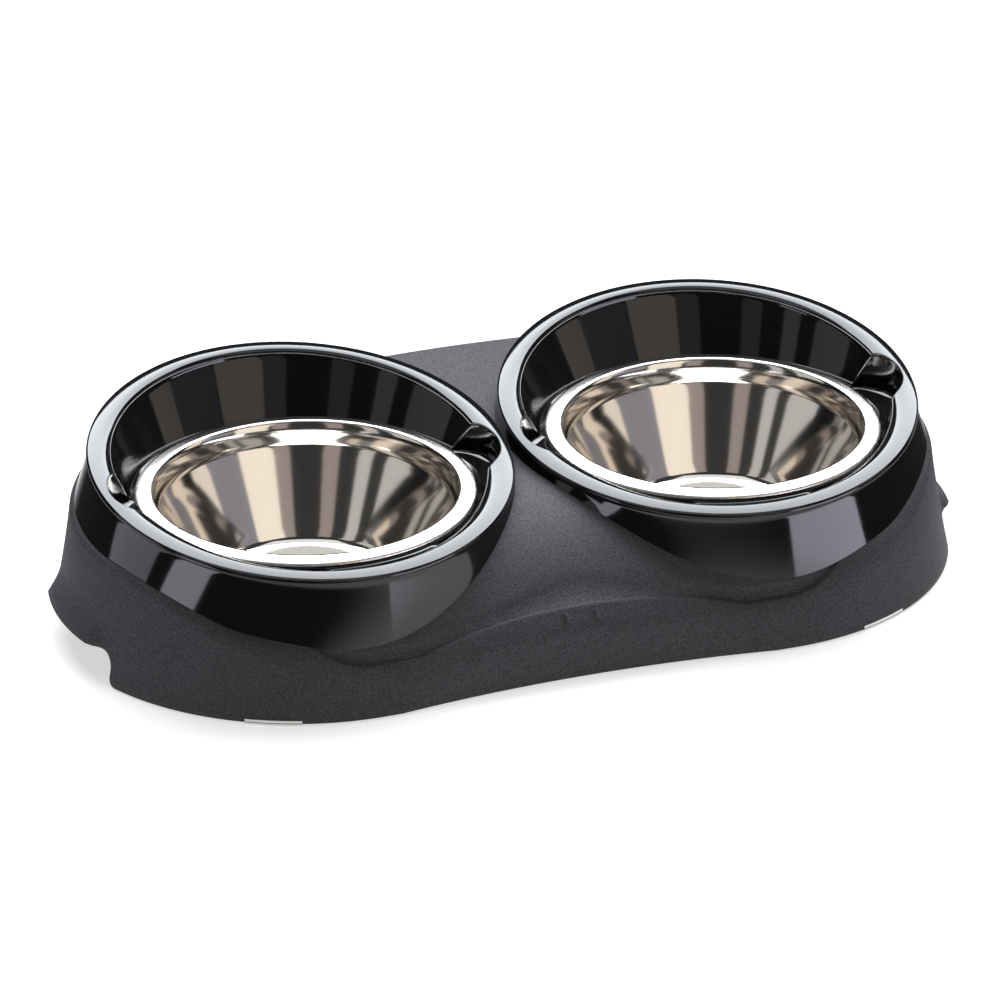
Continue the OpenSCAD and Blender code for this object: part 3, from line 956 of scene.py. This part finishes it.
def principled(name, colour, roughness=0.5, metallic=0.0):
    """A new material, with its tree and its shader."""
    material = bpy.data.materials.new(name)
    material.use_nodes = True
    shader = material.node_tree.nodes["Principled BSDF"]
    shader.inputs["Base Color"].default_value = (*colour, 1.0)
    shader.inputs["Roughness"].default_value = roughness
    shader.inputs["Metallic"].default_value = metallic
    return material, material.node_tree, shader


def maths(tree, operation, a, b=None, clamp=False):
    """A math node fed by sockets or numbers; returns its output."""
    node = tree.nodes.new("ShaderNodeMath")
    node.operation = operation
    node.use_clamp = clamp
    for socket, value in zip(node.inputs, (a, b)):
        if value is None:
            continue
        if isinstance(value, (int, float)):
            socket.default_value = value
        else:
            tree.links.new(value, socket)
    return node.outputs[0]


def place_of(tree):
    """Object coordinates."""
    return tree.nodes.new("ShaderNodeTexCoord").outputs["Object"]


def noise(tree, vector, scale, detail=2.0):
    """A noise texture's value."""
    node = tree.nodes.new("ShaderNodeTexNoise")
    node.inputs["Detail"].default_value = detail
    tree.links.new(vector, node.inputs["Vector"])
    if isinstance(scale, float):
        node.inputs["Scale"].default_value = scale
    else:
        tree.links.new(scale, node.inputs["Scale"])
    return node.outputs["Fac"]


def roughen(tree, shader, value, low, high):
    """Lets a value from 0 to 1 set the roughness between two limits."""
    ramp = tree.nodes.new("ShaderNodeMapRange")
    ramp.inputs["To Min"].default_value = low
    ramp.inputs["To Max"].default_value = high
    tree.links.new(value, ramp.inputs["Value"])
    tree.links.new(ramp.outputs["Result"], shader.inputs["Roughness"])


def emboss(tree, shader, height, strength, distance):
    """Lets a height shade the surface as relief."""
    bump = tree.nodes.new("ShaderNodeBump")
    bump.inputs["Strength"].default_value = strength
    bump.inputs["Distance"].default_value = distance
    tree.links.new(height, bump.inputs["Height"])
    tree.links.new(bump.outputs["Normal"], shader.inputs["Normal"])


def grain_group():
    """Spark-eroded mould texture: a height and a speckle from object coordinates."""
    tree, given, result = new_tree(
        "Shader",
        "Moulded grain",
        [("Float", "Scale", 2200.0), ("Float", "Contrast", 3.0)],
        [("Float", "Height"), ("Float", "Speckle")],
    )
    middle, coarse_share = 0.5, 0.8
    where = place_of(tree)
    fine = noise(tree, where, given.outputs["Scale"])
    coarse = maths(tree, "MULTIPLY", noise(tree, where, scale=1050.0), coarse_share)
    height = maths(tree, "ADD", fine, coarse)
    mean = maths(tree, "DIVIDE", height, 1.0 + coarse_share)
    both = maths(tree, "SUBTRACT", mean, middle)
    spread_out = maths(tree, "MULTIPLY", both, given.outputs["Contrast"])
    speckle = maths(tree, "ADD", spread_out, middle, clamp=True)
    tree.links.new(height, result.inputs["Height"])
    tree.links.new(speckle, result.inputs["Speckle"])
    return tree


def stand_material(s):
    """Charcoal moulded plastic with a fine matt grain."""
    material, tree, shader = principled("stand_plastic", s.colour)
    shader.inputs["Specular IOR Level"].default_value = 0.2
    group = tree.nodes.new("ShaderNodeGroup")
    group.node_tree = grain_group()
    speckle = group.outputs["Speckle"]
    roughen(tree, shader, speckle, low=0.68, high=0.5)
    tone = tree.nodes.new("ShaderNodeMix")
    tone.data_type = "RGBA"
    a, b, mixed = 6, 7, 2  # Places of the sockets A, B and Result of the colour kind
    for socket, share in ((a, 0.45), (b, 1.9)):
        tone.inputs[socket].default_value = (*[c * share for c in s.colour], 1.0)
    tree.links.new(speckle, tone.inputs["Factor"])
    tree.links.new(tone.outputs[mixed], shader.inputs["Base Color"])
    emboss(tree, shader, group.outputs["Height"], strength=0.6, distance=0.0002)
    return material


def holder_material(s):
    """High-gloss black plastic with the faintest waviness."""
    material, tree, shader = principled("holder_gloss", s.colour)
    where = place_of(tree)
    waves = noise(tree, where, scale=60.0, detail=1.0)
    emboss(tree, shader, waves, strength=0.02, distance=0.001)
    wear = noise(tree, where, scale=240.0, detail=3.0)
    roughen(tree, shader, wear, low=0.05, high=0.1)
    return material


def brushed_group():
    """Fine scratches that run outwards from an axis, strong on the flange and faint inside."""
    tree, given, result = new_tree(
        "Shader",
        "Brushed flange",
        [("Float", "Axis X", 0.0), ("Float", "Axis Y", 0.0), ("Float", "Inside", 0.072)],
        [("Float", "Height"), ("Float", "Roughness")],
    )
    round_scale, out_scale = 90.0, 60.0
    polish, brushing, scratching = 0.06, 0.1, 0.08
    parts = tree.nodes.new("ShaderNodeSeparateXYZ")
    tree.links.new(place_of(tree), parts.inputs["Vector"])
    x = maths(tree, "SUBTRACT", parts.outputs["X"], given.outputs["Axis X"])
    y = maths(tree, "SUBTRACT", parts.outputs["Y"], given.outputs["Axis Y"])
    turn = maths(tree, "ARCTAN2", y, x)
    squares = [maths(tree, "MULTIPLY", value, value) for value in (x, y)]
    r = maths(tree, "SQRT", maths(tree, "ADD", *squares))
    join = tree.nodes.new("ShaderNodeCombineXYZ")
    tree.links.new(maths(tree, "MULTIPLY", turn, round_scale), join.inputs["X"])
    tree.links.new(maths(tree, "MULTIPLY", r, out_scale), join.inputs["Y"])
    lines = noise(tree, join.outputs["Vector"], scale=3.0, detail=4.0)
    flat = maths(tree, "GREATER_THAN", r, given.outputs["Inside"])
    tree.links.new(maths(tree, "MULTIPLY", lines, flat), result.inputs["Height"])
    brushed = maths(tree, "MULTIPLY", flat, brushing)
    scratched = maths(tree, "MULTIPLY", lines, scratching)
    rough = maths(tree, "ADD", maths(tree, "ADD", brushed, scratched), polish)
    tree.links.new(rough, result.inputs["Roughness"])
    return tree


def steel_material(s, name, x):
    """Polished stainless steel with a brushed flange."""
    material, tree, shader = principled(name + "_steel", s.colour, metallic=1.0)
    group = tree.nodes.new("ShaderNodeGroup")
    group.node_tree = bpy.data.node_groups.get("Brushed flange") or brushed_group()
    group.inputs["Axis X"].default_value = x
    group.inputs["Axis Y"].default_value = s.axis_y
    group.inputs["Inside"].default_value = s.flange_in
    tree.links.new(group.outputs["Roughness"], shader.inputs["Roughness"])
    emboss(tree, shader, group.outputs["Height"], strength=1.0, distance=0.00016)
    return material


def rubber_material():
    """Pale matt rubber."""
    material, tree, shader = principled("foot_rubber", (0.85, 0.84, 0.8), roughness=0.7)
    grain = noise(tree, place_of(tree), scale=1500.0)
    emboss(tree, shader, grain, strength=0.2, distance=0.0002)
    return material


def floor_material(s):
    """The pale floor. Gloss sees it only close by, because a studio's table ends there."""
    material, tree, shader = principled("floor_white", (s.floor,) * 3, roughness=0.9)
    shader.inputs["Specular IOR Level"].default_value = 0.2
    reach = tree.nodes.new("ShaderNodeVectorMath")
    reach.operation = "LENGTH"
    tree.links.new(place_of(tree), reach.inputs[0])
    fade = tree.nodes.new("ShaderNodeMapRange")
    fade.interpolation_type = "SMOOTHSTEP"
    fade.inputs["From Min"].default_value = 0.2
    fade.inputs["From Max"].default_value = 0.35
    tree.links.new(reach.outputs["Value"], fade.inputs["Value"])
    gloss = tree.nodes.new("ShaderNodeLightPath").outputs["Is Glossy Ray"]
    hidden = maths(tree, "MULTIPLY", gloss, fade.outputs["Result"])
    tree.links.new(maths(tree, "SUBTRACT", 1.0, hidden), shader.inputs["Alpha"])
    shader.inputs["Emission Color"].default_value = (1.0, 1.0, 1.0, 1.0)
    shader.inputs["Emission Strength"].default_value = s.glow
    return material


def zinc_material():
    """Zinc-plated steel."""
    material, tree, shader = principled("screw_zinc", (0.55, 0.56, 0.58), metallic=1.0)
    roughen(tree, shader, noise(tree, place_of(tree), scale=700.0), low=0.22, high=0.4)
    return material


# Studio


def direction(azimuth, elevation):
    """From the part towards a place round it. Azimuth 0 is straight in front, along -Y."""
    flat = math.cos(elevation)
    return Vector((math.sin(azimuth) * flat, -math.cos(azimuth) * flat, math.sin(elevation)))


def softbox(name, azimuth, elevation, distance, size, radiance, tint):
    """A rectangular softbox that faces the part. Its radiance is that of the lit face."""
    light = bpy.data.lights.new(name, "AREA")
    light.shape = "RECTANGLE"
    light.size, light.size_y = size
    light.energy = radiance * math.pi * size[0] * size[1]
    light.color = tint
    lamp = bpy.data.objects.new(name, light)
    away = direction(math.radians(azimuth), math.radians(elevation))
    lamp.location = away * distance
    lamp.rotation_euler = away.to_track_quat("Z", "Y").to_euler()
    lamp.visible_camera = False
    bpy.context.scene.collection.objects.link(lamp)
    return lamp


FAR = 50.0
FLOOR_HALF = 6.0
KEY_ELEVATION = 56.5
KEY_DISTANCE = 1.6
KEY_SIZE = (2.1, 1.25)
STRIP_DISTANCE = 1.7
COOL, PLAIN, WARM, ROSE, LILAC = (
    (0.92, 0.96, 1.0),
    (1.0, 0.99, 0.97),
    (1.0, 0.9, 0.78),
    (1.0, 0.84, 0.8),
    (0.88, 0.86, 1.0),
)
# Window-like strips round the part: azimuth and elevation in degrees, width and height in
# metres, share of the side strength, tint.
STRIPS = {
    "front_right_window": (19.0, 27.0, (0.78, 1.1), 1.0, WARM),
    "front_right_veil": (49.0, 27.0, (0.8, 0.8), 0.25, LILAC),
    "right_window": (72.0, 27.0, (0.5, 1.1), 0.8, WARM),
    "front_veil": (-3.0, 27.0, (0.34, 1.0), 0.3, ROSE),
    "front_left_veil": (-43.0, 27.0, (0.34, 1.0), 0.3, ROSE),
    "left_window": (-70.0, 27.0, (0.3, 1.1), 0.5, PLAIN),
    "left_veil": (-101.0, 27.0, (0.8, 1.1), 0.5, PLAIN),
    "low_right": (43.0, -7.0, (1.1, 0.9), 4.8, LILAC),
    "low_left": (-71.0, -7.0, (0.55, 0.9), 3.6, LILAC),
    "low_left_end": (-104.0, -7.0, (0.9, 0.9), 1.6, LILAC),
    "back_right_veil": (118.0, 5.0, (1.0, 0.7), 0.8, LILAC),
    "ceiling": (-20.0, 84.0, (1.6, 1.1), 0.9, COOL),
}


class PETBOWL_OT_studio(bpy.types.Operator):
    """Sets the floor, the lights and the camera"""

    bl_idname = "pet_bowl.studio"
    bl_label = "Studio"

    def execute(self, context):
        s = settings("studio")
        scene = context.scene
        camera = bpy.data.cameras.new("camera")
        camera.sensor_width = 36.0
        camera.lens = s.lens
        camera.clip_end = FAR
        eye = bpy.data.objects.new("camera", camera)
        away = direction(s.azimuth, s.elevation)
        eye.location = Vector(s.aim) + away * s.distance
        eye.rotation_euler = away.to_track_quat("Z", "Y").to_euler()
        scene.collection.objects.link(eye)
        scene.camera = eye
        scene.view_settings.view_transform = "Standard"

        ends = (-FLOOR_HALF, FLOOR_HALF)
        rows = [[(x, y, 0.0) for y in ends] for x in ends]
        floor = sheet_mesh("floor", rows, closed=False)
        paint(floor, floor_material(s))

        back = 180.0 + math.degrees(s.azimuth)
        softbox("back_softbox", back, KEY_ELEVATION, KEY_DISTANCE, KEY_SIZE, s.key, COOL)
        for name, (azimuth, elevation, size, share, tint) in STRIPS.items():
            softbox(name, azimuth, elevation, STRIP_DISTANCE, size, s.side * share, tint)

        world = bpy.data.worlds.new("surround")
        world.use_nodes = True
        sky = world.node_tree.nodes["Background"]
        sky.inputs["Color"].default_value = (1.0, 1.0, 1.0, 1.0)
        sky.inputs["Strength"].default_value = s.sky
        scene.world = world
        return {"FINISHED"}


class PETBOWL_PT_panel(bpy.types.Panel):
    """Lists the settings and the steps"""

    bl_idname = "PETBOWL_PT_panel"
    bl_label = "Pet bowl"
    bl_space_type = "VIEW_3D"
    bl_region_type = "UI"
    bl_category = "Pet bowl"

    def draw(self, context):
        for key, group in GROUPS.items():
            box = self.layout.box()
            box.label(text=key.capitalize())
            for name in group.__annotations__:
                box.prop(settings(key), name)
        for operator in OPERATORS:
            self.layout.operator(operator.bl_idname)


OPERATORS = (
    PETBOWL_OT_stand,
    PETBOWL_OT_underside,
    PETBOWL_OT_holders,
    PETBOWL_OT_bowls,
    PETBOWL_OT_small,
    PETBOWL_OT_studio,
)
CLASSES = (*GROUPS.values(), *OPERATORS, PETBOWL_PT_panel)


def register():
    """Adds the classes and the scene's settings."""
    for cls in CLASSES:
        bpy.utils.register_class(cls)
    for key, group in GROUPS.items():
        setattr(bpy.types.Scene, "pet_bowl_" + key, bpy.props.PointerProperty(type=group))


def unregister():
    """Takes the settings and classes away."""
    for key in GROUPS:
        delattr(bpy.types.Scene, "pet_bowl_" + key)
    for cls in reversed(CLASSES):
        bpy.utils.unregister_class(cls)


def main():
    """Builds everything: the stand, its underside, the holders, the bowls, the feet and screws, and
    the studio.
    """
    register()
    bpy.ops.pet_bowl.stand()
    bpy.ops.pet_bowl.underside()
    bpy.ops.pet_bowl.holders()
    bpy.ops.pet_bowl.bowls()
    bpy.ops.pet_bowl.small()
    bpy.ops.pet_bowl.studio()


if __name__ == "__main__":
    main()
